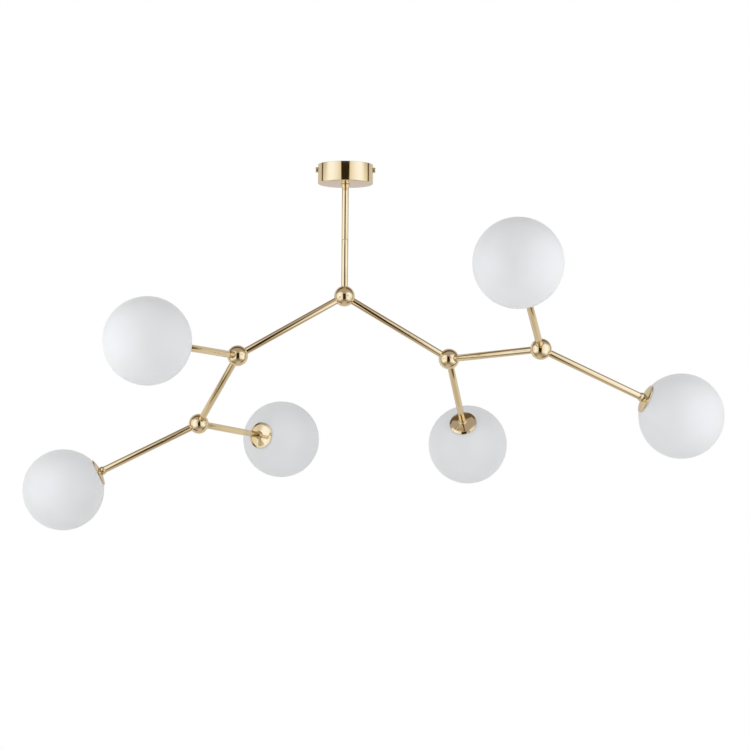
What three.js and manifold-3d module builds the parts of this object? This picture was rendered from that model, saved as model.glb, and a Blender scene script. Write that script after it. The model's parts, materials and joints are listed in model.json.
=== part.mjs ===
// A six-light chandelier: a brass-coloured ceiling cup, a short down rod and a tree of equal straight
// tubes joined by drilled balls, with an opal glass globe on the free end of every outer tube.
//
// Millimetres, +Z up. The origin is the centre of the fixture's ceiling face, so everything hangs below
// z = 0. Every tube, arm and head is drawn along its own +Z axis, away from the ball that holds it.

import * as THREE from "three";
import { mergeVertices } from "three/addons/utils/BufferGeometryUtils.js";
import Module from "manifold-3d";

const wasm = await Module();
wasm.setup();

// ---------------------------------------------------------------- driving dimensions

const GAP = 0.3; // clearance between pieces that touch

// tubes and balls
const TUBE_R = 5; // M10 lamp tube
const TUBE_BORE_R = 4;
const BALL_R = 15;
const BALL_HOLE_R = TUBE_R + GAP;
const TUBE_START = 7.5; // distance from a ball's centre to the end of the tube screwed into it
const ARM_PITCH = 177.3; // ball centre to ball centre
const SOCKET_ANGLE = 60; // each lower socket leans this far off the line of the upper one
const LEAD_R = 1.6;
const LEAD_START = 6;

// the tree: how far each ball is turned on the tube that carries it, in degrees
const HEADING = 7.35;
const TWIST = { left_inner: -68.1, left_outer: 4.1, right_inner: 67.4, right_outer: 7.4 };

// ceiling cup and its fittings
const CUP_R = 40;
const CUP_HEIGHT = 28;
const CUP_WALL = 1.2;
const CUP_EDGE_R = 1.6;
const DROP = 191; // ceiling to the centre of the first ball
const BRACKET_WIDTH = 14;
const BRACKET_THICKNESS = 2;
const TAB_FACE_X = 37;
const TAB_HEIGHT = 13;
const SLOT_X = 20; // the two fixing slots, either side of the middle
const SLOT_LENGTH = 12;
const SLOT_WIDTH = 5;
const SIDE_SCREW_Z = -7.5;
const SCREW_SHANK_R = 1.9;
const SCREW_HEAD_R = 3.9;
const SCREW_HEAD_HEIGHT = 3.2;
const SCREW_SLOT = 1.2;
const NUT_ACROSS_FLATS = 17;
const NUT_HEIGHT = 4;
const TUBE_TOP_Z = -19.5; // top end of the down rod, inside the cup
const SEAM_DROP = 109; // ceiling to the joint between the two down rods
const JOINER_R = 3.7;
const JOINER_BORE_R = 2.7;
const JOINER_LENGTH = 30;
const TERMINAL = { x: 24, y: 10, z: 11 };
const WIRE_HOLE_R = 1.7;

// head: collar, cap, lampholder, bulb and globe, measured outwards from the ball's centre
const GLOBE_R = 60;
const GLASS = 3;
const GLOBE_REACH = 222.8; // ball centre to globe centre
const CAP_START = 160.6;
const NECK_R = 15; // bore of the globe's screw neck
const NECK_DEPTH = 12; // from the globe's pole to the inner end of the neck
const COLLAR_LENGTH = 5.5;
const COLLAR_R = 6.4;
const CAP_R = 20.5;
const CAP_HEIGHT = 5.3;
const CAP_UNDERSIDE = 3;
const SPIGOT_R = NECK_R - GAP;
const SPIGOT_WALL = 2;
const SPIGOT_END = 13;
const TUBE_INTO_CAP = 7.4;
const HOLDER_R = 9.5;
const HOLDER_TOP = CAP_UNDERSIDE + GAP;
const HOLDER_END = 26;
const SOCKET_DEPTH = 9;
const BASE = { width: 13.2, depth: 5.2 };
const BULB_R = 7;
const BULB_LENGTH = 34;

// facets
const TUBE_SIDES = 12;
const COLLAR_SIDES = 14;
const CAP_SIDES = 18;
const GLOBE_SIDES = 20;
const GLOBE_BANDS = 8;
const CUP_SIDES = 32;
const LEAD_SIDES = 6;

// ---------------------------------------------------------------- materials

function material(color, roughness, metalness) {
  return new THREE.MeshStandardMaterial({ color, roughness, metalness });
}

const MATERIALS = {
  brass: material(0xd9c08a, 0.12, 1),
  zinc: material(0xb9bcc0, 0.4, 1),
  opal: material(0xeeeff2, 0.45, 0),
  ceramic: material(0xf1eee6, 0.5, 0),
  bulbGlass: material(0xf7f5ee, 0.2, 0),
  nylon: material(0xe8e6df, 0.6, 0),
  lead: material(0xd8d6cf, 0.5, 0),
};

// ---------------------------------------------------------------- geometry helpers

const radians = THREE.MathUtils.degToRad;

// A profile of [radius, height] pairs turned about +Z.
function turned(profile, sides) {
  const points = profile.map(([r, z]) => new THREE.Vector2(r, z));
  return new THREE.LatheGeometry(points, sides).rotateX(Math.PI / 2);
}

// A plain tube along +Z from one height to another.
function tubeGeometry(from, to, outer, bore, sides) {
  const profile = [
    [bore, from],
    [outer, from],
    [outer, to],
    [bore, to],
    [bore, from],
  ];
  return turned(profile, sides);
}

// A rod along +Z from one height to another.
function rodGeometry(from, to, radius, sides) {
  return new THREE.CylinderGeometry(radius, radius, to - from, sides)
    .rotateX(Math.PI / 2)
    .translate(0, 0, (from + to) / 2);
}

// A box between two heights, centred on the Z axis.
function boxGeometry(width, depth, from, to) {
  return new THREE.BoxGeometry(width, depth, to - from).translate(0, 0, (from + to) / 2);
}

// Points [radius, height] on an arc about the point [0, centre], from one angle to another, measured
// in degrees from the Z axis.
function arc(radius, centre, fromAngle, toAngle, steps) {
  return Array.from({ length: steps + 1 }, (_, i) => {
    const angle = radians(fromAngle + ((toAngle - fromAngle) * i) / steps);
    return [radius * Math.sin(angle), centre + radius * Math.cos(angle)];
  });
}

function toSolid(geometry) {
  const bare = geometry.clone();
  bare.deleteAttribute("normal");
  bare.deleteAttribute("uv");
  const merged = mergeVertices(bare, 1e-4);
  return new wasm.Manifold(
    new wasm.Mesh({
      numProp: 3,
      vertProperties: new Float32Array(merged.attributes.position.array),
      triVerts: new Uint32Array(merged.index.array),
    }),
  );
}

function toGeometry(solid) {
  const mesh = solid.getMesh();
  const geometry = new THREE.BufferGeometry();
  geometry.setAttribute("position", new THREE.BufferAttribute(mesh.vertProperties, 3));
  geometry.setIndex(new THREE.BufferAttribute(mesh.triVerts, 1));
  return geometry;
}

function cut(geometry, tools) {
  const solid = tools.reduce((left, tool) => left.subtract(toSolid(tool)), toSolid(geometry));
  return toGeometry(solid);
}

function join(geometries) {
  const [first, ...rest] = geometries.map(toSolid);
  return toGeometry(rest.reduce((whole, next) => whole.add(next), first));
}

function addMesh(group, name, geometry, finish) {
  const mesh = new THREE.Mesh(geometry, MATERIALS[finish]);
  mesh.name = name;
  group.add(mesh);
  return mesh;
}

// ---------------------------------------------------------------- ceiling cup and its fittings

// The visible cup: a pressed bowl, open at the ceiling, with a rounded lower edge.
function cupGeometry() {
  const floor = -CUP_HEIGHT;
  const inner = CUP_R - CUP_WALL;
  const edge = arc(CUP_EDGE_R, floor + CUP_EDGE_R, 180, 90, 3).map(([r, z]) => [
    CUP_R - CUP_EDGE_R + r,
    z,
  ]);
  const profile = [
    [BALL_HOLE_R, floor],
    ...edge,
    [CUP_R, 0],
    [inner, 0],
    [inner, floor + CUP_EDGE_R],
    [inner - CUP_EDGE_R + CUP_WALL, floor + CUP_WALL],
    [BALL_HOLE_R, floor + CUP_WALL],
    [BALL_HOLE_R, floor],
  ];
  const screwHole = rodGeometry(-CUP_R * 1.2, CUP_R * 1.2, SCREW_SHANK_R + GAP, 12)
    .rotateY(Math.PI / 2)
    .translate(0, 0, SIDE_SCREW_Z);
  return cut(turned(profile, CUP_SIDES), [screwHole]);
}

// A flat strap against the ceiling with a tab turned down at each end for the cup's side screws.
function bracketGeometry() {
  const bar = boxGeometry(2 * TAB_FACE_X, BRACKET_WIDTH, -BRACKET_THICKNESS, 0);
  const tabs = [-1, 1].map((side) =>
    boxGeometry(BRACKET_THICKNESS, BRACKET_WIDTH, -TAB_HEIGHT, 0).translate(
      side * (TAB_FACE_X - BRACKET_THICKNESS / 2),
      0,
      0,
    ),
  );
  const slots = [-1, 1].map((side) =>
    boxGeometry(SLOT_LENGTH, SLOT_WIDTH, -2 * BRACKET_THICKNESS, BRACKET_THICKNESS).translate(
      side * SLOT_X,
      0,
      0,
    ),
  );
  const screwHole = rodGeometry(-CUP_R, CUP_R, SCREW_SHANK_R + GAP, 12)
    .rotateY(Math.PI / 2)
    .translate(0, 0, SIDE_SCREW_Z);
  return cut(join([bar, ...tabs]), [...slots, screwHole]);
}

// A slotted side screw, pointing in along -Z from the underside of its head at z = 0.
function sideScrewGeometry() {
  const shankLength = CUP_R - TAB_FACE_X + 2 * BRACKET_THICKNESS;
  const profile = [
    [0, -shankLength],
    [SCREW_SHANK_R, -shankLength],
    [SCREW_SHANK_R, 0],
    [SCREW_HEAD_R, 0],
    [SCREW_HEAD_R, SCREW_HEAD_HEIGHT - 0.6],
    [SCREW_HEAD_R - 0.6, SCREW_HEAD_HEIGHT],
    [0, SCREW_HEAD_HEIGHT],
  ];
  const slot = new THREE.BoxGeometry(SCREW_SLOT, 3 * SCREW_HEAD_R, 2 * SCREW_SLOT);
  slot.translate(0, 0, SCREW_HEAD_HEIGHT);
  return cut(turned(profile, COLLAR_SIDES), [slot]);
}

function nutGeometry() {
  const corner = NUT_ACROSS_FLATS / 2 / Math.cos(radians(30));
  const outline = new THREE.Shape();
  for (let i = 0; i < 6; i += 1) {
    const angle = radians(60 * i);
    const x = corner * Math.cos(angle);
    const y = corner * Math.sin(angle);
    if (i === 0) outline.moveTo(x, y);
    else outline.lineTo(x, y);
  }
  outline.closePath();
  outline.holes.push(new THREE.Path().absarc(0, 0, BALL_HOLE_R, 0, 2 * Math.PI, true));
  return new THREE.ExtrudeGeometry(outline, {
    depth: NUT_HEIGHT,
    bevelEnabled: false,
    curveSegments: TUBE_SIDES,
  });
}

// A three-way screw terminal block, which sits under the strap between its two fixing slots.
function terminalGeometry() {
  const block = boxGeometry(TERMINAL.x, TERMINAL.y, -TERMINAL.z, 0);
  const wireHoles = [-1, 0, 1].map((way) =>
    rodGeometry(-TERMINAL.y, TERMINAL.y, WIRE_HOLE_R, 8)
      .rotateX(Math.PI / 2)
      .translate((way * TERMINAL.x) / 3, 0, -TERMINAL.z / 2),
  );
  return cut(block, wireHoles);
}

function addCanopy(root) {
  addMesh(root, "ceiling_bracket", bracketGeometry(), "zinc");
  addMesh(root, "canopy_cup", cupGeometry(), "brass");
  const terminal = addMesh(root, "terminal_block", terminalGeometry(), "nylon");
  terminal.position.set(0, 0, -BRACKET_THICKNESS - GAP);
  for (const [name, side] of [
    ["canopy_screw_left", -1],
    ["canopy_screw_right", 1],
  ]) {
    const screw = addMesh(root, name, sideScrewGeometry(), "brass");
    screw.position.set(side * (CUP_R + GAP), 0, SIDE_SCREW_Z);
    screw.rotation.set(0, (side * Math.PI) / 2, 0);
  }
}

// ---------------------------------------------------------------- tubes, balls and leads

// A turned ring on a tube, against a flat face at z = 0, with a short taper away from that face.
function collarGeometry() {
  const profile = [
    [BALL_HOLE_R, -COLLAR_LENGTH],
    [TUBE_R + 0.6, -COLLAR_LENGTH],
    [COLLAR_R - 0.6, -3.6],
    [COLLAR_R, -3],
    [COLLAR_R, -0.9],
    [COLLAR_R - 0.4, -GAP],
    [BALL_HOLE_R, -GAP],
    [BALL_HOLE_R, -COLLAR_LENGTH],
  ];
  return turned(profile, COLLAR_SIDES);
}

// A ball with three drilled sockets in one plane: one back along -Z and two leaning forward of +X and -X.
function ballGeometry() {
  const ball = new THREE.SphereGeometry(BALL_R, 16, 10);
  const drill = rodGeometry(0, BALL_R * 1.2, BALL_HOLE_R, TUBE_SIDES);
  const sockets = [180, SOCKET_ANGLE, -SOCKET_ANGLE].map((lean) =>
    drill.clone().rotateY(radians(lean)),
  );
  return cut(ball, sockets);
}

function addLead(group, name, from, to) {
  addMesh(group, name, rodGeometry(from, to, LEAD_R, LEAD_SIDES), "lead");
}

// The two down rods, the joiner inside them, and the collar and nut that hold them in the cup. The group's
// +Z axis points down from the ceiling.
function addDownRods(group) {
  const seam = SEAM_DROP;
  const end = DROP - TUBE_START;
  const upper = tubeGeometry(-TUBE_TOP_Z, seam, TUBE_R, TUBE_BORE_R, TUBE_SIDES);
  const lower = tubeGeometry(seam + GAP, end, TUBE_R, TUBE_BORE_R, TUBE_SIDES);
  const joinerFrom = seam - JOINER_LENGTH / 2;
  const joinerTo = seam + JOINER_LENGTH / 2;
  const joiner = tubeGeometry(joinerFrom, joinerTo, JOINER_R, JOINER_BORE_R, TUBE_SIDES);
  addMesh(group, "down_rod_upper", upper, "brass");
  addMesh(group, "down_rod_lower", lower, "brass");
  addMesh(group, "down_rod_joiner", joiner, "zinc");
  addLead(group, "lead_down_rod", -TUBE_TOP_Z - 3, DROP - LEAD_START);
  const nut = addMesh(group, "canopy_lock_nut", nutGeometry(), "zinc");
  nut.position.set(0, 0, CUP_HEIGHT - CUP_WALL - GAP - NUT_HEIGHT);
  const collar = addMesh(group, "canopy_collar", collarGeometry(), "brass");
  collar.position.set(0, 0, CUP_HEIGHT);
  collar.rotation.set(Math.PI, 0, 0);
}

// ---------------------------------------------------------------- heads

// A shallow cone with a rounded-off rim, and a threaded spigot below it for the globe's neck.
function capGeometry() {
  const spigotBore = SPIGOT_R - SPIGOT_WALL;
  const profile = [
    [BALL_HOLE_R, 0],
    [17, 2.7],
    [19.2, 3.55],
    [CAP_R, 4.4],
    [CAP_R, CAP_HEIGHT],
    [CAP_R - 0.9, CAP_HEIGHT - 0.2],
    [17.5, 4.2],
    [SPIGOT_R, 3.5],
    [SPIGOT_R, SPIGOT_END],
    [spigotBore, SPIGOT_END],
    [spigotBore, CAP_UNDERSIDE],
    [BALL_HOLE_R, CAP_UNDERSIDE],
    [BALL_HOLE_R, 0],
  ];
  return turned(profile, CAP_SIDES);
}

// A ceramic lampholder, screwed onto the tube's end, with a slot for a two-pin bulb.
function holderGeometry() {
  const floor = TUBE_INTO_CAP + GAP;
  const wireHoleR = 2.2;
  const profile = [
    [wireHoleR, floor],
    [BALL_HOLE_R, floor],
    [BALL_HOLE_R, HOLDER_TOP],
    [HOLDER_R - 0.8, HOLDER_TOP],
    [HOLDER_R, HOLDER_TOP + 0.8],
    [HOLDER_R, HOLDER_END],
    [wireHoleR, HOLDER_END],
    [wireHoleR, floor],
  ];
  const socket = boxGeometry(
    BASE.width + 2 * GAP,
    BASE.depth + 2 * GAP,
    HOLDER_END - SOCKET_DEPTH,
    HOLDER_END + 1,
  );
  return cut(turned(profile, COLLAR_SIDES), [socket]);
}

// A capsule bulb: a flat two-pin base and a round-ended glass envelope.
function bulbGeometry() {
  const start = HOLDER_END + GAP;
  const end = start + BULB_LENGTH;
  const base = boxGeometry(BASE.width, BASE.depth, HOLDER_END - SOCKET_DEPTH + GAP, start + 1);
  const envelope = turned(
    [[0, start], [BULB_R - 1, start], ...arc(BULB_R, end - BULB_R, 90, 0, 3)],
    14,
  );
  return join([base, envelope]);
}

// A hollow glass globe about its own centre, with the screw neck turned inwards at its -Z pole.
function globeGeometry() {
  const inner = GLOBE_R - GLASS;
  const neckOuter = NECK_R + GLASS;
  const outerStart = THREE.MathUtils.radToDeg(Math.asin(NECK_R / GLOBE_R));
  const innerStart = THREE.MathUtils.radToDeg(Math.asin(neckOuter / inner));
  const neckEnd = -GLOBE_R + NECK_DEPTH;
  const profile = [
    ...arc(GLOBE_R, 0, 0, 180 - outerStart, GLOBE_BANDS),
    [NECK_R, neckEnd],
    [neckOuter, neckEnd],
    ...arc(inner, 0, 180 - innerStart, 0, GLOBE_BANDS - 1),
  ];
  return turned(profile.reverse(), GLOBE_SIDES);
}

// A stem tube and everything on its end. The group's +Z axis is the stem's axis.
function addHead(group, place) {
  const tubeEnd = CAP_START + TUBE_INTO_CAP;
  const stem = tubeGeometry(TUBE_START, tubeEnd, TUBE_R, TUBE_BORE_R, TUBE_SIDES);
  addMesh(group, `stem_${place}`, stem, "brass");
  const head = new THREE.Group();
  head.position.set(0, 0, CAP_START);
  group.add(head);
  addMesh(head, `collar_${place}`, collarGeometry(), "brass");
  addMesh(head, `cap_${place}`, capGeometry(), "brass");
  addMesh(head, `lampholder_${place}`, holderGeometry(), "ceramic");
  addMesh(head, `bulb_${place}`, bulbGeometry(), "bulbGlass");
  const globe = addMesh(head, `globe_${place}`, globeGeometry(), "opal");
  globe.position.set(0, 0, GLOBE_REACH - CAP_START);
}

// ---------------------------------------------------------------- the tree

// A group that leans out of a ball through one of its two forward sockets.
function leaningGroup(ballGroup, side) {
  const group = new THREE.Group();
  group.rotation.set(0, radians(side * SOCKET_ANGLE), 0);
  ballGroup.add(group);
  return group;
}

// A ball at a distance along a group's +Z axis, turned about that axis.
function addBall(group, name, distance, twist) {
  const ballGroup = new THREE.Group();
  ballGroup.position.set(0, 0, distance);
  ballGroup.rotation.set(0, 0, radians(twist));
  group.add(ballGroup);
  addMesh(ballGroup, `ball_${name}`, ballGeometry(), "brass");
  return ballGroup;
}

function addArm(ballGroup, side, name) {
  const group = leaningGroup(ballGroup, side);
  const end = ARM_PITCH - TUBE_START;
  const tube = tubeGeometry(TUBE_START, end, TUBE_R, TUBE_BORE_R, TUBE_SIDES);
  addMesh(group, `arm_${name}`, tube, "brass");
  addLead(group, `lead_arm_${name}`, LEAD_START, ARM_PITCH - LEAD_START);
  return addBall(group, name, ARM_PITCH, TWIST[name]);
}

const chandelier = new THREE.Group();
addCanopy(chandelier);

const drop = new THREE.Group();
drop.rotation.set(Math.PI, 0, 0);
chandelier.add(drop);
addDownRods(drop);

const centre = addBall(drop, "centre", DROP, -HEADING);

const leftInner = addArm(centre, -1, "left_inner");
addHead(leaningGroup(leftInner, -1), "left_front");
const leftOuter = addArm(leftInner, 1, "left_outer");
addHead(leaningGroup(leftOuter, -1), "left_outer");
addHead(leaningGroup(leftOuter, 1), "left_back");

const rightInner = addArm(centre, 1, "right_inner");
addHead(leaningGroup(rightInner, -1), "right_back");
const rightOuter = addArm(rightInner, 1, "right_outer");
addHead(leaningGroup(rightOuter, 1), "right_front");
addHead(leaningGroup(rightOuter, -1), "right_outer");

export default chandelier;
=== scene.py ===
import json
import math

import bpy
from mathutils import Matrix, Vector

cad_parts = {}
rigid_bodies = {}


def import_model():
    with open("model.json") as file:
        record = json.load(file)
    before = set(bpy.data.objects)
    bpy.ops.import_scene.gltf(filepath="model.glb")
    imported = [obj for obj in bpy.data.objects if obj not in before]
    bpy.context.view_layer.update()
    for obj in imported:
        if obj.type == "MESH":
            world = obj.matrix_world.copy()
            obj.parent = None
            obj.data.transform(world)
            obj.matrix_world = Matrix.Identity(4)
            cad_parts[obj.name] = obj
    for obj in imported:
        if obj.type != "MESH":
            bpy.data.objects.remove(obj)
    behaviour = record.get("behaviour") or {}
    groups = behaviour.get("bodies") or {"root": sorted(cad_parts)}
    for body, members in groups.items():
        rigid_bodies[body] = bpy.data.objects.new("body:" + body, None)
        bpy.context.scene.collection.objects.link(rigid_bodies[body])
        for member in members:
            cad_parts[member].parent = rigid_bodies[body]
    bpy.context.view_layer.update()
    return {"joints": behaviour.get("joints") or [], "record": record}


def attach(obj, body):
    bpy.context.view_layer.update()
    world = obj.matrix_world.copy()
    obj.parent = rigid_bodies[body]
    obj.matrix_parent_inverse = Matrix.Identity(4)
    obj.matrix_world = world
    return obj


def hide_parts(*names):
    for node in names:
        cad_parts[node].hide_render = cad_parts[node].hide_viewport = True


# The looks of the six-light chandelier: polished brass tubes and balls, opal glass globes and a small
# ceiling cup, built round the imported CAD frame. Shapes are in millimetres until a mesh is made.

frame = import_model()

# ------------------------------------------------------------------ sizes, in millimetres

MM = 0.001

TUBE_R = 5.0
TUBE_BORE_R = 4.0
TUBE_HOLE_R = TUBE_R + 0.05  # the bore of a piece that sits round a tube
TUBE_EDGE_R = 0.35
TUBE_START = 7.5  # from a ball's centre to the end of the tube screwed into it
TUBE_TOP = 19.5  # from the ceiling to the open top of the down rod
SEAM = 109.0  # from the ceiling to the joint in the down rod
DROP = 191.0  # from the ceiling to the centre ball
ARM_PITCH = 177.3  # from one ball's centre to the next
JOINER_R = 3.7
JOINER_BORE_R = 2.7
JOINER_HALF = 15
LEAD_R = 1.6

BALL_R = 15.0
SOCKET_ANGLE = math.radians(60)  # the two forward sockets lean this far off the ball's own axis
SOCKET_R = TUBE_R + 0.04
SOCKET_FACE_R = 5.35
SOCKET_FACE = 13.93  # from the ball's centre to the flat round each socket

CUP_R = 40.0
CUP_HEIGHT = 28.0
CUP_WALL = 1.2
CUP_EDGE_R = 1.6
CUP_HOLE_R = TUBE_R + 0.1
SIDE_SCREW_DROP = 7.5
SIDE_SCREW_R = 1.9
SIDE_SCREW_HOLE_R = 2.3
SIDE_SCREW_HEAD_R = 3.9
SIDE_SCREW_HEAD = 3.2
NUT_FLATS = 17
NUT_FACE_R = 8.6  # what the chamfer leaves of each end face
NUT_HEIGHT = 4
NUT_CHAMFER = 0.9
STRAP_WIDTH = 14.0
STRAP_THICKNESS = 2.0
STRAP_SLOT_X = 20
STRAP_SLOT_R = 2.5
STRAP_SLOT_REACH = 3.5  # from the middle of a slot to the centre of either round end
TAB_FACE = 37.0
TAB_HEIGHT = 13.0
TAB_HOLE_R = 2.0
TERMINAL_X, TERMINAL_Y, TERMINAL_Z = 24.0, 10.0, 11.0
WAYS = (-TERMINAL_X / 3, 0.0, TERMINAL_X / 3)  # the middle of each way through the terminal block
WAY_HEIGHT = -STRAP_THICKNESS - 6.0
WAY_HOLE_R = 1.7
CLAMP_WELL_R = 2.2
CLAMP_SCREW_R = 1.9
CORE_R = 0.75

GLOBE_R = 60.0
GLASS = 3.0
GLOBE_REACH = 222.8  # from a ball's centre to the centre of its globe
NECK_R = 15.0
NECK_DEPTH = 12.0
CAP_START = 160.6
CAP_R = 20.5
CAP_HEIGHT = 5.3
CAP_UNDERSIDE = 3.0
CAP_SLOPE_R = 17
SPIGOT_R = NECK_R - 0.3
SPIGOT_BORE_R = NECK_R - 2.3
SPIGOT_END = 13
COLLAR_LENGTH = 5.5
COLLAR_R = 6.4
TUBE_INTO_CAP = 7.4
HOLDER_END = 26.0
HOLDER_BORE_R = 2.2
HOLDER_BASE_R = 9.4
HOLDER_WAIST_R = 8.6
HOLDER_FLANGE_R = 9.5
SOCKET_DEPTH = 9.0
SOCKET_HALF_X, SOCKET_HALF_Y = 6.9, 2.9
BULB_R = 7.0
BULB_LENGTH = 34.0
BULB_FOOT_R = 5.6
BULB_BASE_HALF_X, BULB_BASE_HALF_Y = 6.6, 2.6
PIN_R = 0.5
PIN_X = 4.75
PIN_LENGTH = 3

FLOOR_DROP = 2.6  # metres below the ceiling
FLOOR_R = 9.0  # metres

# ------------------------------------------------------------------ the frame

JOINTS = {joint["name"]: joint for joint in frame["joints"]}
BODY_OF = {
    node: body
    for body, members in frame["record"]["behaviour"]["bodies"].items()
    for node in members
}


def looking_along(point, forward, towards):
    """A matrix at point, in metres, with +Z forward and +X on the side of towards."""
    z = Vector(forward).normalized()
    x = Vector(towards)
    x = (x - x.dot(z) * z).normalized()
    y = z.cross(x)
    turn = Matrix((x, y, z)).transposed().to_4x4()
    return Matrix.Translation(point) @ turn


def add_object(name, data):
    thing = bpy.data.objects.new(name, data)
    bpy.context.scene.collection.objects.link(thing)
    return thing


def swivel(name):
    joint = JOINTS[f"{name}_swivel"]
    return Vector(joint["pos_m"]), Vector(joint["axis"])


# ------------------------------------------------------------------ camera

# place in metres from the middle of the ceiling strap's top face, turn in radians, lens in millimetres
CAMERA_SIDE = 0.045
CAMERA_BACK = 2.993
CAMERA_DROP = 0.4687
CAMERA_PITCH = 0.0547
CAMERA_ROLL = 0.0076
CAMERA_LENS = 99.7


def make_camera():
    camera = add_object("camera", bpy.data.cameras.new("camera"))
    camera.data.lens = CAMERA_LENS
    camera.data.sensor_width = 36
    camera.data.clip_end = 100
    place = Matrix.Translation((CAMERA_SIDE, -CAMERA_BACK, -CAMERA_DROP))
    tilt = Matrix.Rotation(math.pi / 2 + CAMERA_PITCH, 4, "X")
    roll = Matrix.Rotation(CAMERA_ROLL, 4, "Z")
    camera.matrix_world = place @ tilt @ roll
    bpy.context.scene.camera = camera


make_camera()

# ------------------------------------------------------------------ meshes


def new_piece(name, vertices, faces):
    mesh = bpy.data.meshes.new(name)
    mesh.from_pydata(vertices, [], faces)
    mesh.validate()
    return add_object(name, mesh)


def rounded(corners, closed=True, steps=4):
    """An outline through (r, z) corners. A third number rounds its corner to that radius."""
    outline = []
    for i, corner in enumerate(corners):
        point = Vector(corner[:2])
        at_end = not closed and i in (0, len(corners) - 1)
        if len(corner) < 3 or at_end:
            outline.append(tuple(point))
            continue
        before = (Vector(corners[i - 1][:2]) - point).normalized()
        after = (Vector(corners[(i + 1) % len(corners)][:2]) - point).normalized()
        half = before.angle(after) / 2
        radius = corner[2]
        centre = point + (before + after).normalized() * radius / math.sin(half)
        start = point + before * radius / math.tan(half) - centre
        end = point + after * radius / math.tan(half) - centre
        first = math.atan2(start.y, start.x)
        turn = (math.atan2(end.y, end.x) - first + math.pi) % (2 * math.pi) - math.pi
        for k in range(steps + 1):
            angle = first + turn * k / steps
            outline.append((centre.x + radius * math.cos(angle), centre.y + radius * math.sin(angle)))
    return outline


def arc(radius, centre, first, last, steps):
    """(r, z) points round (0, centre), from one angle to another, in degrees from the Z axis."""
    angles = [math.radians(first + (last - first) * i / steps) for i in range(steps + 1)]
    return [(abs(radius * math.sin(a)), centre + radius * math.cos(a)) for a in angles]


def turned(name, outline, sides=64, closed=True):
    """An outline in (r, z) turned about +Z. One that isn't closed starts and ends on the axis."""
    vertices, rings = [], []
    for r, z in outline:
        if r < 1e-6:
            rings.append([len(vertices)] * sides)
            vertices.append((0, 0, z * MM))
            continue
        rings.append(list(range(len(vertices), len(vertices) + sides)))
        for k in range(sides):
            angle = 2 * math.pi * k / sides
            vertices.append((r * math.cos(angle) * MM, r * math.sin(angle) * MM, z * MM))
    faces = []
    for i in range(len(rings) if closed else len(rings) - 1):
        low, high = rings[i], rings[(i + 1) % len(rings)]
        for k in range(sides):
            corners = [low[k], low[(k + 1) % sides], high[(k + 1) % sides], high[k]]
            face = list(dict.fromkeys(corners))
            if len(face) > 2:
                faces.append(face)
    return new_piece(name, vertices, faces)


def rod(name, radius, low, high, sides):
    """A plain solid cylinder about +Z."""
    return turned(name, [(0, low), (radius, low), (radius, high), (0, high)], sides, closed=False)


def block(name, low, high):
    """A plain box between two corners, for cutting with."""
    sides_x, sides_y, sides_z = zip(low, high)
    corners = [(x * MM, y * MM, z * MM) for x in sides_x for y in sides_y for z in sides_z]
    faces = [(0, 1, 3, 2), (4, 6, 7, 5), (0, 4, 5, 1), (2, 3, 7, 6), (0, 2, 6, 4), (1, 5, 7, 3)]
    return new_piece(name, corners, faces)


def extruded(name, outline, low, high):
    """A closed outline in (x, y) drawn out from one height to another."""
    count = len(outline)
    vertices = [(x * MM, y * MM, z * MM) for z in (low, high) for x, y in outline]
    faces = [tuple(reversed(range(count))), tuple(range(count, 2 * count))]
    for k in range(count):
        after = (k + 1) % count
        faces.append((k, after, count + after, count + k))
    return new_piece(name, vertices, faces)


def bake_modifiers(piece):
    bpy.context.view_layer.update()
    graph = bpy.context.evaluated_depsgraph_get()
    mesh = bpy.data.meshes.new_from_object(piece.evaluated_get(graph))
    piece.modifiers.clear()
    piece.data = mesh


def combine(piece, others, operation):
    """Joins other pieces to a piece, or cuts them from it, and removes them."""
    for other in others:
        modifier = piece.modifiers.new("combine", "BOOLEAN")
        modifier.operation = operation
        modifier.solver = "EXACT"
        modifier.object = other
        bake_modifiers(piece)
        bpy.data.objects.remove(other)


def bevel(piece, width):
    modifier = piece.modifiers.new("bevel", "BEVEL")
    modifier.width = width * MM
    modifier.segments = 2
    modifier.limit_method = "ANGLE"
    modifier.angle_limit = math.radians(40)
    bake_modifiers(piece)


def smooth(piece, angle=35):
    """Smooth shading, apart from edges sharper than the angle."""
    piece.data.shade_smooth()
    piece.data.set_sharp_from_angle(angle=math.radians(angle))
    return piece


def round_normals(piece, radius):
    """Gives every face that lies on a ball the ball's own normals, so that reflections run smoothly."""
    mesh = piece.data
    on_ball = [abs(v.co.length - radius * MM) < 1e-6 for v in mesh.vertices]
    normals = [corner.vector.copy() for corner in mesh.corner_normals]
    for face in mesh.polygons:
        if all(on_ball[v] for v in face.vertices):
            for loop in face.loop_indices:
                normals[loop] = mesh.vertices[mesh.loops[loop].vertex_index].co.normalized()
    mesh.normals_split_custom_set(normals)


def stand_for(piece, node, finish, matrix=None):
    """Puts a finished piece where its CAD node is, in the node's place."""
    dress(piece, BODY_OF[node], finish, matrix)
    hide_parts(node)


def dress(piece, body, finish, matrix=None):
    """Gives a piece its finish, place and body. Its mesh is turned, so that its box is a close one."""
    piece.data.materials.clear()
    piece.data.materials.append(finish)
    if matrix is not None:
        piece.data.transform(matrix.to_3x3().to_4x4())
        piece.matrix_world = Matrix.Translation(matrix.translation)
    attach(piece, body)


# ------------------------------------------------------------------ materials


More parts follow.
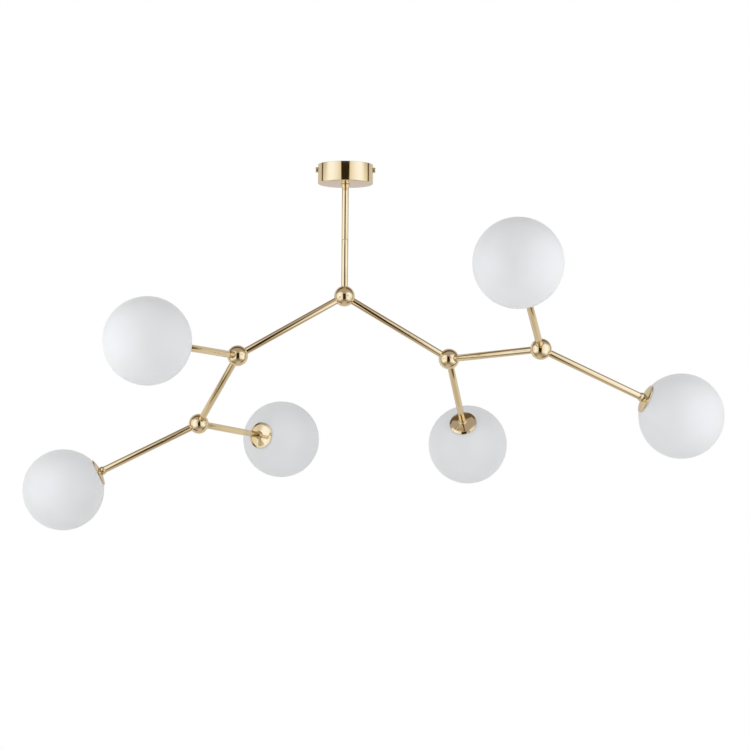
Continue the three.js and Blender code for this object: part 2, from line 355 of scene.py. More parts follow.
class Nodes:
    """A small helper for building a material's node tree."""

    def __init__(self, name):
        self.material = bpy.data.materials.new(name)
        self.material.use_nodes = True
        self.tree = self.material.node_tree
        self.shader = self.tree.nodes["Principled BSDF"]
        self.coordinates = self.tree.nodes.new("ShaderNodeTexCoord").outputs["Object"]

    def set(self, **values):
        for name, value in values.items():
            self.shader.inputs[name.replace("_", " ")].default_value = value

    def noise(self, scale, detail=3.0):
        noise = self.tree.nodes.new("ShaderNodeTexNoise")
        noise.inputs["Scale"].default_value = scale
        noise.inputs["Detail"].default_value = detail
        self.tree.links.new(self.coordinates, noise.inputs["Vector"])
        return noise.outputs["Fac"]

    def ramp(self, value, low, high):
        """The middle of a value's range spread over a range of colours or greys."""
        ramp = self.tree.nodes.new("ShaderNodeValToRGB")
        ramp.color_ramp.elements[0].position = 0.3
        ramp.color_ramp.elements[1].position = 0.7
        for element, colour in zip(ramp.color_ramp.elements, (low, high)):
            element.color = (*colour, 1) if hasattr(colour, "__len__") else (colour,) * 3 + (1,)
        self.tree.links.new(value, ramp.inputs["Fac"])
        return ramp.outputs["Color"]

    def to(self, output, name):
        self.tree.links.new(output, self.shader.inputs[name])

    def bump(self, value, strength, distance):
        bump = self.tree.nodes.new("ShaderNodeBump")
        bump.inputs["Strength"].default_value = strength
        bump.inputs["Distance"].default_value = distance
        self.tree.links.new(value, bump.inputs["Height"])
        self.to(bump.outputs["Normal"], "Normal")


def make_brass():
    """Polished, lacquered pale brass, with faint smears in its gloss."""
    n = Nodes("polished_brass")
    n.set(Metallic=1.0)
    n.to(n.ramp(n.noise(14), (0.79, 0.645, 0.40), (0.82, 0.675, 0.43)), "Base Color")
    n.to(n.ramp(n.noise(45, 5.0), 0.06, 0.11), "Roughness")
    n.bump(n.noise(30, 2.0), 0.02, 0.0001)
    return n.material


def make_opal():
    """Satin opal glass: white all through, softly lit from inside its wall."""
    n = Nodes("opal_glass")
    n.set(IOR=1.5, Subsurface_Weight=0.35, Subsurface_Radius=(0.02, 0.02, 0.02), Subsurface_Scale=1.0)
    n.to(n.ramp(n.noise(9), (0.83, 0.84, 0.86), (0.86, 0.87, 0.885)), "Base Color")
    n.to(n.ramp(n.noise(30), 0.38, 0.46), "Roughness")
    n.bump(n.noise(12, 1.0), 0.05, 0.0004)
    return n.material


def make_ceramic():
    n = Nodes("ceramic")
    n.to(n.ramp(n.noise(160), (0.80, 0.78, 0.72), (0.86, 0.85, 0.80)), "Base Color")
    n.to(n.ramp(n.noise(300), 0.35, 0.55), "Roughness")
    n.bump(n.noise(1400), 0.15, 0.0001)
    return n.material


def make_bulb_glass():
    n = Nodes("bulb_glass")
    n.set(IOR=1.5, Transmission_Weight=0.35)
    n.to(n.ramp(n.noise(120), (0.90, 0.89, 0.85), (0.95, 0.95, 0.92)), "Base Color")
    n.to(n.ramp(n.noise(200), 0.22, 0.34), "Roughness")
    return n.material


def make_zinc():
    n = Nodes("zinc_plate")
    n.set(Metallic=1.0)
    n.to(n.ramp(n.noise(220, 6.0), (0.50, 0.52, 0.54), (0.68, 0.69, 0.71)), "Base Color")
    n.to(n.ramp(n.noise(500, 4.0), 0.28, 0.45), "Roughness")
    n.bump(n.noise(1800), 0.1, 0.00005)
    return n.material


def make_plastic(name, low, high):
    n = Nodes(name)
    n.to(n.ramp(n.noise(140), low, high), "Base Color")
    n.to(n.ramp(n.noise(700), 0.42, 0.58), "Roughness")
    n.bump(n.noise(2200), 0.12, 0.00005)
    return n.material


BRASS = make_brass()
OPAL = make_opal()
CERAMIC = make_ceramic()
BULB_GLASS = make_bulb_glass()
ZINC = make_zinc()
NYLON = make_plastic("nylon", (0.76, 0.75, 0.70), (0.84, 0.83, 0.79))
SLEEVE = make_plastic("lead_sleeve", (0.66, 0.65, 0.62), (0.74, 0.73, 0.70))
LIVE_BROWN = make_plastic("lead_brown", (0.16, 0.06, 0.03), (0.20, 0.08, 0.04))
NEUTRAL_BLUE = make_plastic("lead_blue", (0.04, 0.12, 0.36), (0.06, 0.16, 0.44))
EARTH_GREEN = make_plastic("lead_green", (0.30, 0.42, 0.05), (0.38, 0.52, 0.08))

# ------------------------------------------------------------------ tubes, collars and balls


def tube(name, start, end, outer=TUBE_R, bore=TUBE_BORE_R):
    edge = TUBE_EDGE_R
    corners = [(bore, start, edge), (outer, start, edge), (outer, end, edge), (bore, end, edge)]
    return smooth(turned(name, rounded(corners, steps=3), 64))


def collar(name):
    """A turned ring with rounded edges against a flat face at z = 0, and a short taper behind it."""
    corners = [
        (TUBE_HOLE_R, -COLLAR_LENGTH),
        (TUBE_R + 0.4, -COLLAR_LENGTH, 0.15),
        (TUBE_R + 0.75, -3.7, 0.3),
        (COLLAR_R, -3.3, 0.7),
        (COLLAR_R, -0.05, 0.7),
        (TUBE_HOLE_R, -0.05),
    ]
    return smooth(turned(name, rounded(corners, steps=6), 72))


def ball(name):
    """A ball with three drilled sockets in one plane, each with a fine flat edge round its mouth."""
    piece = turned(name, arc(BALL_R, 0, 180, 0, 60), 96, closed=False)
    socket = rounded(
        [
            (0, TUBE_START - 1),
            (SOCKET_R, TUBE_START - 1),
            (SOCKET_R, SOCKET_FACE - 0.25),
            (TUBE_R + 0.3, SOCKET_FACE),
            (SOCKET_FACE_R, SOCKET_FACE),
            (SOCKET_FACE_R, BALL_R + 2),
            (0, BALL_R + 2),
        ],
        closed=False,
    )
    cutters = []
    for lean in (math.pi, SOCKET_ANGLE, -SOCKET_ANGLE):
        cutter = turned("socket", socket, 64, closed=False)
        cutter.data.transform(Matrix.Rotation(lean, 4, "Y"))
        cutters.append(cutter)
    combine(piece, cutters, "DIFFERENCE")
    smooth(piece, 25)
    round_normals(piece, BALL_R)
    return piece


# ------------------------------------------------------------------ ceiling cup and its fittings


def side_screw_drill(radius):
    """A cutter along the line of both side screws."""
    reach = CUP_R + 10
    drill = rod("drill", radius, -reach, reach, 32)
    drill.data.transform(Matrix.Rotation(math.pi / 2, 4, "Y"))
    drill.data.transform(Matrix.Translation((0, 0, -SIDE_SCREW_DROP * MM)))
    return drill


def build_cup():
    floor = -CUP_HEIGHT
    inner = CUP_R - CUP_WALL
    corners = [
        (CUP_HOLE_R, floor),
        (CUP_R, floor, CUP_EDGE_R),
        (CUP_R, 0, 0.3),
        (inner, 0, 0.3),
        (inner, floor + CUP_WALL, 0.4),
        (CUP_HOLE_R, floor + CUP_WALL),
    ]
    cup = turned("canopy_cup_finished", rounded(corners, steps=10), 160)
    combine(cup, [side_screw_drill(SIDE_SCREW_HOLE_R)], "DIFFERENCE")
    stand_for(smooth(cup), "canopy_cup", BRASS)


def build_side_screw(node, side):
    """A slotted cheese-head screw; the slot lies level, and the head's own +Z points out of the cup."""
    shank = CUP_R - TAB_FACE + 2 * STRAP_THICKNESS
    corners = [
        (0, -shank),
        (SIDE_SCREW_R, -shank, 0.4),
        (SIDE_SCREW_R, 0),
        (SIDE_SCREW_HEAD_R, 0, 0.25),
        (SIDE_SCREW_HEAD_R, SIDE_SCREW_HEAD, 0.7),
        (0, SIDE_SCREW_HEAD),
    ]
    screw = turned(f"{node}_finished", rounded(corners, closed=False), 48, closed=False)
    slot = block("slot", (-0.6, -5, 2.0), (0.6, 5, 4))
    combine(screw, [slot], "DIFFERENCE")
    place = Matrix.Translation((side * (CUP_R + 0.1) * MM, 0, -SIDE_SCREW_DROP * MM))
    stand_for(smooth(screw, 30), node, BRASS, place @ Matrix.Rotation(side * math.pi / 2, 4, "Y"))


def build_nut():
    """A chamfered hexagon lock nut."""
    corner = NUT_FLATS / 2 / math.cos(math.pi / 6)
    hexagon = [(corner * math.cos(k * math.pi / 3), corner * math.sin(k * math.pi / 3)) for k in range(6)]
    low = -CUP_HEIGHT + CUP_WALL + 0.05
    high = low + NUT_HEIGHT
    nut = extruded("canopy_lock_nut_finished", hexagon, low, high)
    chamfer = [
        (0, low),
        (NUT_FACE_R, low),
        (corner + 0.3, low + NUT_CHAMFER),
        (corner + 0.3, high - NUT_CHAMFER),
        (NUT_FACE_R, high),
        (0, high),
    ]
    combine(nut, [turned("chamfer", chamfer, 64, closed=False)], "INTERSECT")
    combine(nut, [rod("bore", TUBE_HOLE_R, low - 1, high + 1, 64)], "DIFFERENCE")
    stand_for(smooth(nut, 20), "canopy_lock_nut", ZINC)


def strap_slot(middle):
    """A cutter for a round-ended fixing slot, each end drawn as half a circle in 12 steps."""
    outline = []
    for side in (1, -1):
        centre = middle + side * STRAP_SLOT_REACH
        for k in range(13):
            angle = math.radians(side * 90 - 90 + (k - 6) * 15)
            outline.append((centre + STRAP_SLOT_R * math.cos(angle), STRAP_SLOT_R * math.sin(angle)))
    return extruded("slot", outline, -4, 1)


def build_strap():
    """The ceiling strap: a bent strip with two fixing slots and a screw hole in each tab."""
    half = TAB_FACE
    side_view = rounded(
        [
            (-half, 0, 2.2),
            (-half, -TAB_HEIGHT, 0.4),
            (-half + STRAP_THICKNESS, -TAB_HEIGHT, 0.4),
            (-half + STRAP_THICKNESS, -STRAP_THICKNESS, 0.6),
            (half - STRAP_THICKNESS, -STRAP_THICKNESS, 0.6),
            (half - STRAP_THICKNESS, -TAB_HEIGHT, 0.4),
            (half, -TAB_HEIGHT, 0.4),
            (half, 0, 2.2),
        ]
    )
    strap = extruded("ceiling_bracket_finished", side_view, -STRAP_WIDTH / 2, STRAP_WIDTH / 2)
    strap.data.transform(Matrix.Rotation(math.pi / 2, 4, "X"))
    slots = [strap_slot(-STRAP_SLOT_X), strap_slot(STRAP_SLOT_X)]
    combine(strap, [*slots, side_screw_drill(TAB_HOLE_R)], "DIFFERENCE")
    stand_for(smooth(strap, 30), "ceiling_bracket", ZINC)


def build_terminal():
    """A three-way terminal block under the strap, with a wire hole and a clamp screw for each way."""
    top = -STRAP_THICKNESS - 0.1
    bottom = top - TERMINAL_Z
    half_x, half_y = TERMINAL_X / 2, TERMINAL_Y / 2
    body = block("terminal_block_finished", (-half_x, -half_y, bottom), (half_x, half_y, top))
    reach = 9  # past the sides of the block
    cutters = []
    for x in WAYS:
        hole = rod("hole", WAY_HOLE_R, -reach, reach, 24)
        hole.data.transform(Matrix.Rotation(math.pi / 2, 4, "X"))
        hole.data.transform(Matrix.Translation((x * MM, 0, WAY_HEIGHT * MM)))
        well = rod("well", CLAMP_WELL_R, -2, 2, 24)
        well.data.transform(Matrix.Translation((x * MM, 0, bottom * MM)))
        cutters += [hole, well]
    for x in (-TERMINAL_X / 6, TERMINAL_X / 6):
        cutters.append(block("rib", (x - 0.5, -reach, bottom - 1), (x + 0.5, reach, bottom + 3)))
    combine(body, cutters, "DIFFERENCE")
    bevel(body, 0.35)
    stand_for(smooth(body, 30), "terminal_block", NYLON)
    corners = [(0, -1.6), (CLAMP_SCREW_R, -1.6, 0.2), (CLAMP_SCREW_R, 0.2, 0.3), (0, 0.2)]
    for number, x in enumerate(WAYS, start=1):
        head = turned(f"terminal_screw_{number}", rounded(corners, closed=False), 32, closed=False)
        combine(head, [block("slot", (-0.3, -3, -2), (0.3, 3, -1.0))], "DIFFERENCE")
        spot = Matrix.Translation((x * MM, 0, (bottom + 1.9) * MM))
        dress(smooth(head, 30), "root", BRASS, spot)


def wire(name, points, radius, finish, body):
    """A short insulated core along a smooth line through the points."""
    curve = bpy.data.curves.new(name, "CURVE")
    curve.dimensions = "3D"
    curve.bevel_depth = radius * MM
    curve.bevel_resolution = 4
    curve.resolution_u = 10
    curve.use_fill_caps = True
    spline = curve.splines.new("BEZIER")
    spline.bezier_points.add(len(points) - 1)
    for knot, point in zip(spline.bezier_points, points):
        knot.co = Vector(point) * MM
        knot.handle_left_type = knot.handle_right_type = "AUTO"
    drawn = add_object(name + "_line", curve)
    bpy.context.view_layer.update()
    graph = bpy.context.evaluated_depsgraph_get()
    piece = add_object(name, bpy.data.meshes.new_from_object(drawn.evaluated_get(graph)))
    bpy.data.objects.remove(drawn)
    dress(smooth(piece, 60), body, finish)


def build_cup_wiring():
    """Three cores that leave the terminal block and bend down into the top of the down rod."""
    cores = (("live", LIVE_BROWN), ("earth", EARTH_GREEN), ("neutral", NEUTRAL_BLUE))
    for (name, finish), x in zip(cores, WAYS):
        into = (x * 0.16, 1.0 if x else -1.0)
        points = [
            (x, 3, WAY_HEIGHT),
            (x, 7, WAY_HEIGHT),
            (x * 0.9, 9.5, WAY_HEIGHT - 3),
            (x * 0.5, 6.5, -TUBE_TOP + 4),
            (into[0], into[1] + 0.6, -TUBE_TOP + 1.0),
            (*into, -TUBE_TOP - 6),
        ]
        wire(f"canopy_wire_{name}", points, CORE_R, finish, "root")


def build_canopy():
    build_cup()
    build_side_screw("canopy_screw_left", -1)
    build_side_screw("canopy_screw_right", 1)
    build_nut()
    build_strap()
    build_terminal()
    build_cup_wiring()


# ------------------------------------------------------------------ down rod, arms and their balls

DOWN = looking_along((0, 0, 0), (0, 0, -1), (1, 0, 0))


def lead(node, start, end, matrix):
    """The sleeved wires inside a tube."""
    outline = rounded([(0, start), (LEAD_R, start, 0.3), (LEAD_R, end, 0.3), (0, end)], closed=False)
    stand_for(smooth(turned(f"{node}_finished", outline, 20, closed=False)), node, SLEEVE, matrix)


def build_down_rod():
    stand_for(tube("down_rod_upper_finished", TUBE_TOP, SEAM), "down_rod_upper", BRASS, DOWN)
    lower = tube("down_rod_lower_finished", SEAM + 0.12, DROP - TUBE_START)
    stand_for(lower, "down_rod_lower", BRASS, DOWN)
    low, high = SEAM - JOINER_HALF, SEAM + JOINER_HALF
    joiner = tube("down_rod_joiner_finished", low, high, JOINER_R, JOINER_BORE_R)
    stand_for(joiner, "down_rod_joiner", ZINC, DOWN)
    lead("lead_down_rod", TUBE_TOP + 8, DROP - 6, DOWN)
    under_cup = Matrix.Translation((0, 0, -CUP_HEIGHT * MM))
    stand_for(collar("canopy_collar_finished"), "canopy_collar", BRASS, under_cup)


ARM_NAMES = ("left_inner", "left_outer", "right_inner", "right_outer")


def parent_ball(name):
    parent = JOINTS[f"{name}_swivel"]["parent"]
    return "centre" if parent == "drop_frame" else parent


def head_axis(place):
    return Vector(JOINTS[f"globe_{place}_lift_off"]["axis"])


# which tube leaves each ball by the socket on its +X side
PLUS_SOCKET = {
    "centre": lambda: swivel("right_inner")[1],
    "left_inner": lambda: swivel("left_outer")[1],
    "left_outer": lambda: head_axis("left_back"),
    "right_inner": lambda: swivel("right_outer")[1],
    "right_outer": lambda: head_axis("right_front"),
}


def ball_frame(name):
    if name == "centre":
        point, forward = Vector((0, 0, -DROP * MM)), Vector((0, 0, -1))
    else:
        point, forward = swivel(name)
    return looking_along(point, forward, PLUS_SOCKET[name]())


def build_balls():
    pattern = ball("ball_pattern")
    for name in PLUS_SOCKET:
        piece = add_object(f"ball_{name}_finished", pattern.data.copy())
        stand_for(piece, f"ball_{name}", BRASS, ball_frame(name))
    bpy.data.objects.remove(pattern)


def build_arms():
    for name in ARM_NAMES:
        start = ball_frame(parent_ball(name))
        matrix = looking_along(start.translation, swivel(name)[1], start.col[2].xyz)
        piece = tube(f"arm_{name}_finished", TUBE_START, ARM_PITCH - TUBE_START)
        stand_for(piece, f"arm_{name}", BRASS, matrix)
        lead(f"lead_arm_{name}", 6, ARM_PITCH - 6, matrix)


# ------------------------------------------------------------------ heads


def cap(name):
    """A shallow turned cone with a rounded-off rim, and a spigot below it for the globe's neck."""
    corners = [
        (TUBE_HOLE_R, 0),
        (CAP_SLOPE_R, 2.7, 6),
        (CAP_R, 4.1, 0.35),
        (CAP_R, CAP_HEIGHT, 0.2),
        (CAP_R - 0.9, CAP_HEIGHT - 0.2, 0.3),
        (CAP_SLOPE_R + 0.5, 4.2, 4),
        (SPIGOT_R, 3.5, 0.4),
        (SPIGOT_R, SPIGOT_END, 0.4),
        (SPIGOT_BORE_R, SPIGOT_END, 0.4),
        (SPIGOT_BORE_R, CAP_UNDERSIDE, 0.4),
        (TUBE_HOLE_R, CAP_UNDERSIDE),
    ]
    return smooth(turned(name, rounded(corners, steps=8), 128))


def lampholder(name):
    """A glazed ceramic two-pin lampholder, with a waist, a flange and a slot for the bulb's base."""
    floor = TUBE_INTO_CAP + 0.1
    top = CAP_UNDERSIDE + 0.1
    corners = [
        (HOLDER_BORE_R, floor),
        (TUBE_HOLE_R, floor),
        (TUBE_HOLE_R, top),
        (HOLDER_BASE_R, top, 0.6),
        (HOLDER_BASE_R, 9.0, 0.5),
        (HOLDER_WAIST_R, 10.0, 0.5),
        (HOLDER_WAIST_R, 20.0, 0.5),
        (HOLDER_FLANGE_R, 21.0, 0.5),
        (HOLDER_FLANGE_R, HOLDER_END, 0.9),
        (HOLDER_BORE_R, HOLDER_END),
    ]
    piece = turned(name, rounded(corners), 56)
    foot = (-SOCKET_HALF_X, -SOCKET_HALF_Y, HOLDER_END - SOCKET_DEPTH)
    combine(piece, [block("slot", foot, (SOCKET_HALF_X, SOCKET_HALF_Y, HOLDER_END + 1))], "DIFFERENCE")
    return smooth(piece, 30)


def bulb(name):
    """A capsule bulb: pinched flat base and round-ended frosted envelope."""
    start = HOLDER_END + 0.2
    end = start + BULB_LENGTH
    corners = [(0, start), (BULB_FOOT_R, start, 0.8), (BULB_R, start + 2.5, 1.0), (BULB_R, end - BULB_R)]
    shoulder = rounded(corners, closed=False)
    outline = shoulder + arc(BULB_R, end - BULB_R, 90, 0, 14)[1:]
    piece = turned(name, outline, 48, closed=False)
    foot = (-BULB_BASE_HALF_X, -BULB_BASE_HALF_Y, HOLDER_END - SOCKET_DEPTH + 2.2)
    base = block("base", foot, (BULB_BASE_HALF_X, BULB_BASE_HALF_Y, start + 1))
    bevel(base, 0.8)
    combine(piece, [base], "UNION")
    return smooth(piece, 30)


def bulb_pin(name, side):
    """One round wire pin of the bulb's base."""
    foot = HOLDER_END - SOCKET_DEPTH + 0.3
    corners = [(0, foot), (PIN_R, foot, 0.3), (PIN_R, foot + PIN_LENGTH), (0, foot + PIN_LENGTH)]
    pin = turned(name, rounded(corners, closed=False), 16, closed=False)
    pin.data.transform(Matrix.Translation((side * PIN_X * MM, 0, 0)))
    return smooth(pin)


def globe(name):
    """A blown opal globe about its own centre, with its screw neck turned in at the -Z pole."""
    inner = GLOBE_R - GLASS
    neck_outer = NECK_R + GLASS
    outer_start = math.degrees(math.asin((NECK_R + 0.8) / GLOBE_R))
    inner_start = math.degrees(math.asin((neck_outer + 1.2) / inner))
    neck_end = -GLOBE_R + NECK_DEPTH
    neck = rounded(
        [
            (neck_outer, -inner + 6),
            (neck_outer, neck_end, 0.8),
            (NECK_R, neck_end, 0.8),
            (NECK_R, -GLOBE_R + 2.9),
        ],
        closed=False,
    )
    inside = arc(inner, 0, 0, 180 - inner_start, 60)
    outside = arc(GLOBE_R, 0, 180 - outer_start, 0, 72)
    return smooth(turned(name, inside + neck + outside, 144, closed=False))


def build_head(place):
    joint = JOINTS[f"globe_{place}_lift_off"]
    ball_matrix = ball_frame(joint["parent"])
    stem_matrix = looking_along(ball_matrix.translation, joint["axis"], ball_matrix.col[2].xyz)
    head_matrix = stem_matrix @ Matrix.Translation((0, 0, CAP_START * MM))
    globe_matrix = stem_matrix @ Matrix.Translation((0, 0, GLOBE_REACH * MM))
    stem = tube(f"stem_{place}_finished", TUBE_START, CAP_START + TUBE_INTO_CAP)
    stand_for(stem, f"stem_{place}", BRASS, stem_matrix)
    stand_for(collar(f"collar_{place}_finished"), f"collar_{place}", BRASS, head_matrix)
    stand_for(cap(f"cap_{place}_finished"), f"cap_{place}", BRASS, head_matrix)
    stand_for(lampholder(f"lampholder_{place}_finished"), f"lampholder_{place}", CERAMIC, head_matrix)
    stand_for(bulb(f"bulb_{place}_finished"), f"bulb_{place}", BULB_GLASS, head_matrix)
    for side, word in ((-1, "a"), (1, "b")):
        pin = bulb_pin(f"bulb_pin_{word}_{place}", side)
        dress(pin, f"bulb_{place}", ZINC, head_matrix)
    stand_for(globe(f"globe_{place}_finished"), f"globe_{place}", OPAL, globe_matrix)


HEADS = [name[len("globe_"):-len("_lift_off")] for name in JOINTS if name.endswith("_lift_off")]

# ------------------------------------------------------------------ studio

# metres, from the middle of the ceiling strap's top face
PANEL_X, PANEL_Y, PANEL_Z = 1.6, -1.2, -0.4  # the right one; the left one mirrors it
PANEL_WIDTH = 1.5
PANEL_HEIGHT = 2.4
LEFT_WATTS = 24.7
RIGHT_WATTS = 21.5
STUDIO_R = 1.3
STUDIO_DROP = 0.21  # to the middle of the dome

PANEL_WHITE = (0.97, 0.99, 1.0)
COOL_WHITE = (0.93, 1.0, 1.18)
ROOM_WHITE = (1.02, 1.0, 0.94)
CEILING = (0.49, 0.443, 0.44)
GROUND = (0.455, 0.39, 0.34)
NADIR = (0.66, 0.62, 0.56)
FAR_WHITE = (0.66, 0.61, 0.625)
SLOT_DARK = (0.035, 0.022, 0.008)
EDGE_DARK = (0.15, 0.115, 0.085)

# lists of (degrees, value) stops for Surround.curve
BOX_LEVEL = [
    (12, 0.85), (24, 0.98), (36, 1.16), (50, 1.29),
    (62, 1.35), (74, 1.27), (86, 1.07), (96, 0.95),
]
BOX_TOP_SAG = [(60, 0), (90, 16)]
SWEEP_LEVEL = [(100, 0.78), (130, 0.8), (150, 0.74), (180, 0.68)]
EDGE_MIDDLE = [
    (20, 3), (40, 8), (54, 12), (70, 16), (90, 19),
    (110, 19.5), (130, 18), (150, 15), (180, 11),
]
EDGE_HALF_WIDTH = [
    (36, 6), (50, 5.5), (62, 5), (80, 4.6), (100, 4.6),
    (112, 5.5), (122, 9), (136, 13), (180, 14),
]
ROOM_MIDDLE_LEVEL = [(0, 0.3), (115, 0.3), (125, 0.5), (150, 0.7), (180, 0.8)]
CURVE_TOP = 20  # the highest value that a curve can take

# where each part of the painting fades in, from and to, in degrees of rise unless it says otherwise
BOX_CEILING = (26, 48)
BOX_GROUND = (-26, -53)
BOX_NADIR = (-60, -76)
BOX_COOL = (0.95, 1.25)  # of the box's own level
GAP_SIDE = (0.31, 0.255)  # of x
GAP_CEILING = (20, 26)
SLOT_FOOT = (-68, -27)
SLOT_TOP = (29, 21)
SWEEP_FAR = (150, 168)  # of off_axis
SWEEP_DIM = (2, 26)
SWEEP_DIM_LEVEL = 0.68
SWEEP_NADIR = (-36, -56)
SWEEP_CEILING = (28, 50)
EDGE_SOFT = (-1, 1)  # degrees across the edge
EDGE_FOOT = (-78, -66)
ROOM_BELOW, ROOM_BELOW_LEVEL = (-17, -13), 0.78
ROOM_ABOVE, ROOM_ABOVE_LEVEL = (13, 17), 0.75


def build_side_lights():
    """A soft panel on each side, set forward; the brass mirrors the studio instead of these."""
    for side, name, watts in ((-1, "side_light_left", LEFT_WATTS), (1, "side_light_right", RIGHT_WATTS)):
        light = bpy.data.lights.new(name, "AREA")
        light.shape = "RECTANGLE"
        light.size = PANEL_WIDTH
        light.size_y = PANEL_HEIGHT
        light.energy = watts
        light.color = PANEL_WHITE
        lamp = add_object(name, light)
        turn = Matrix.Rotation(side * math.pi / 2, 4, "Z") @ Matrix.Rotation(math.pi / 2, 4, "X")
        lamp.matrix_world = Matrix.Translation((side * PANEL_X, PANEL_Y, PANEL_Z)) @ turn
        lamp.visible_camera = False
        lamp.visible_glossy = False


class Surround:
    """A node tree that paints what lies round the fixture, by its direction from the middle.

    In degrees, bearing is how far round from the front it lies, rise how far above the level, and
    off_axis how far from straight ahead. x runs from -1 at the left to 1 at the right.
    """

    def __init__(self, tree, direction):
        self.nodes, self.links = tree.nodes, tree.links
        parts = self.nodes.new("ShaderNodeSeparateXYZ")
        self.links.new(direction, parts.inputs[0])
        self.x, y, z = parts.outputs
        front = self.calc("MULTIPLY", y, -1)
        self.bearing = self.calc("DEGREES", self.calc("ABSOLUTE", self.calc("ARCTAN2", self.x, front)))
        self.rise = self.calc("DEGREES", self.calc("ARCSINE", z))
        self.off_axis = self.calc("DEGREES", self.calc("ARCCOSINE", front))

    def connect(self, socket, value):
        if isinstance(value, (int, float, tuple)):
            socket.default_value = value
        else:
            self.links.new(value, socket)

    def calc(self, operation, *values):
        node = self.nodes.new("ShaderNodeMath")
        node.operation = operation
        for socket, value in zip(node.inputs, values):
            self.connect(socket, value)
        return node.outputs[0]

    def both(self, first, second):
        return self.calc("MULTIPLY", first, second)

    def gate(self, value, span):
        """A smooth step from 0 at the first number of the span to 1 at the second."""
        low, high = span
        node = self.nodes.new("ShaderNodeMapRange")
        node.interpolation_type = "SMOOTHSTEP"
        self.connect(node.inputs["Value"], value)
        node.inputs["From Min"].default_value = low
        node.inputs["From Max"].default_value = high
        return node.outputs["Result"]

    def blend(self, first, second, factor):
        """One colour faded into another; a plain number is a grey."""
        node = self.nodes.new("ShaderNodeMix")
        node.data_type = "RGBA"
        self.connect(node.inputs["Factor"], factor)
        for socket, value in ((node.inputs["A"], first), (node.inputs["B"], second)):
            value = (value, value, value) if isinstance(value, float) else value
            self.connect(socket, (*value, 1) if isinstance(value, tuple) else value)
        return node.outputs["Result"]

    def tinted(self, colour, level):
        node = self.nodes.new("ShaderNodeVectorMath")
        node.operation = "SCALE"
        self.connect(node.inputs["Vector"], colour)
        self.connect(node.inputs["Scale"], level)
        return node.outputs["Vector"]

    def curve(self, value, stops):
        """A number that follows a list of (degrees, value) stops, over 0 to 180 degrees."""
        node = self.nodes.new("ShaderNodeValToRGB")
        elements = node.color_ramp.elements
        while len(elements) < len(stops):
            elements.new(0.5)
        for element, (degrees, level) in zip(elements, stops):
            element.position = degrees / 180
            grey = level / CURVE_TOP
            element.color = (grey, grey, grey, 1)
        self.links.new(self.calc("DIVIDE", value, 180), node.inputs["Fac"])
        return self.calc("MULTIPLY", node.outputs["Color"], CURVE_TOP)


def paint_front(s):
    """Two large soft boxes with a dark slot between them, a dim ceiling above and a warm ground below."""
    gap = s.gate(s.calc("ABSOLUTE", s.x), GAP_SIDE)
    level = s.curve(s.bearing, BOX_LEVEL)
    boxes = s.blend(s.tinted(ROOM_WHITE, level), s.tinted(COOL_WHITE, level), s.gate(level, BOX_COOL))
    box_top = s.calc("ADD", s.rise, s.curve(s.bearing, BOX_TOP_SAG))
    front = s.blend(boxes, CEILING, s.gate(box_top, BOX_CEILING))
    front = s.blend(front, CEILING, s.both(gap, s.gate(s.rise, GAP_CEILING)))
    front = s.blend(front, GROUND, s.gate(s.rise, BOX_GROUND))
    front = s.blend(front, NADIR, s.gate(s.rise, BOX_NADIR))
    slot = s.both(gap, s.both(s.gate(s.rise, SLOT_FOOT), s.gate(s.rise, SLOT_TOP)))
    return s.blend(front, SLOT_DARK, slot)


def paint_back(s):
    """A white sweep, dimmer higher up."""
    sweep = s.tinted(ROOM_WHITE, s.curve(s.off_axis, SWEEP_LEVEL))
    sweep = s.blend(sweep, FAR_WHITE, s.gate(s.off_axis, SWEEP_FAR))
    sweep = s.blend(sweep, s.tinted(ROOM_WHITE, SWEEP_DIM_LEVEL), s.gate(s.rise, SWEEP_DIM))
    sweep = s.blend(sweep, NADIR, s.gate(s.rise, SWEEP_NADIR))
    return s.blend(sweep, CEILING, s.gate(s.rise, SWEEP_CEILING))


def paint_edge(s, front, back):
    """The two halves, with the dark edge between them: thin at the sides and broad overhead."""
    height = s.calc("ADD", s.rise, 90)
    middle = s.curve(height, EDGE_MIDDLE)
    half_width = s.curve(height, EDGE_HALF_WIDTH)
    past_edge = s.calc("SUBTRACT", s.off_axis, s.calc("ADD", 90, middle))
    inside = s.calc("SUBTRACT", half_width, s.calc("ABSOLUTE", past_edge))
    whole = s.blend(front, back, s.gate(past_edge, EDGE_SOFT))
    return s.blend(whole, EDGE_DARK, s.both(s.gate(inside, EDGE_SOFT), s.gate(s.rise, EDGE_FOOT)))


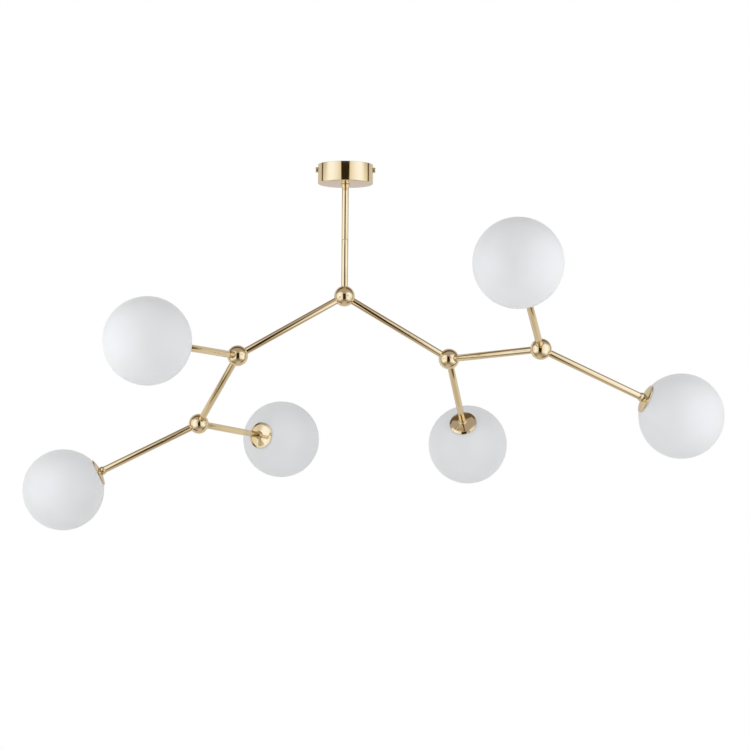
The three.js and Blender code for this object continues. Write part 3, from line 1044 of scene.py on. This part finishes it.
def build_studio():
    """The photo studio that the brass mirrors, painted on a dome round the fixture."""
    dome = turned("studio", arc(STUDIO_R / MM, 0, 180, 0, 48), 96, closed=False)
    dome.location.z = -STUDIO_DROP
    material = bpy.data.materials.new("studio")
    material.use_nodes = True
    tree = material.node_tree
    tree.nodes.clear()
    outward = tree.nodes.new("ShaderNodeVectorMath")
    outward.operation = "NORMALIZE"
    tree.links.new(tree.nodes.new("ShaderNodeTexCoord").outputs["Object"], outward.inputs[0])
    s = Surround(tree, outward.outputs["Vector"])
    glow = tree.nodes.new("ShaderNodeEmission")
    tree.links.new(paint_edge(s, paint_front(s), paint_back(s)), glow.inputs["Color"])
    tree.links.new(glow.outputs[0], tree.nodes.new("ShaderNodeOutputMaterial").inputs["Surface"])
    dome.data.materials.append(material)
    for kind in ("camera", "diffuse", "transmission", "volume_scatter", "shadow"):
        setattr(dome, f"visible_{kind}", False)


def build_world():
    """White for the camera, and for the glass even light from above and below, less from the middle."""
    world = bpy.data.worlds.new("room")
    bpy.context.scene.world = world
    world.use_nodes = True
    world.cycles.sampling_method = "NONE"  # so that the room never lights the brass past the studio
    tree = world.node_tree
    tree.nodes.clear()
    s = Surround(tree, tree.nodes.new("ShaderNodeTexCoord").outputs["Generated"])
    middle = s.curve(s.bearing, ROOM_MIDDLE_LEVEL)
    soft = s.blend(ROOM_BELOW_LEVEL, middle, s.gate(s.rise, ROOM_BELOW))
    soft = s.blend(soft, ROOM_ABOVE_LEVEL, s.gate(s.rise, ROOM_ABOVE))
    seen_by_camera = tree.nodes.new("ShaderNodeLightPath").outputs["Is Camera Ray"]
    background = tree.nodes.new("ShaderNodeBackground")
    tree.links.new(s.blend(soft, (1.0, 1.0, 1.0), seen_by_camera), background.inputs["Color"])
    tree.links.new(background.outputs[0], tree.nodes.new("ShaderNodeOutputWorld").inputs["Surface"])
    bpy.context.scene.view_settings.view_transform = "Standard"


def build_floor():
    floor = rod("floor", FLOOR_R / MM, -1, 0, 96)
    floor.location.z = -FLOOR_DROP
    n = Nodes("floor")
    n.to(n.ramp(n.noise(2), (0.84, 0.84, 0.84), (0.87, 0.87, 0.87)), "Base Color")
    n.set(Roughness=0.9)
    floor.data.materials.append(n.material)
    floor.visible_diffuse = False
    floor.visible_glossy = False


# ------------------------------------------------------------------ the whole

build_canopy()
build_down_rod()
build_balls()
build_arms()
for head_place in HEADS:
    build_head(head_place)
build_side_lights()
build_studio()
build_world()
build_floor()
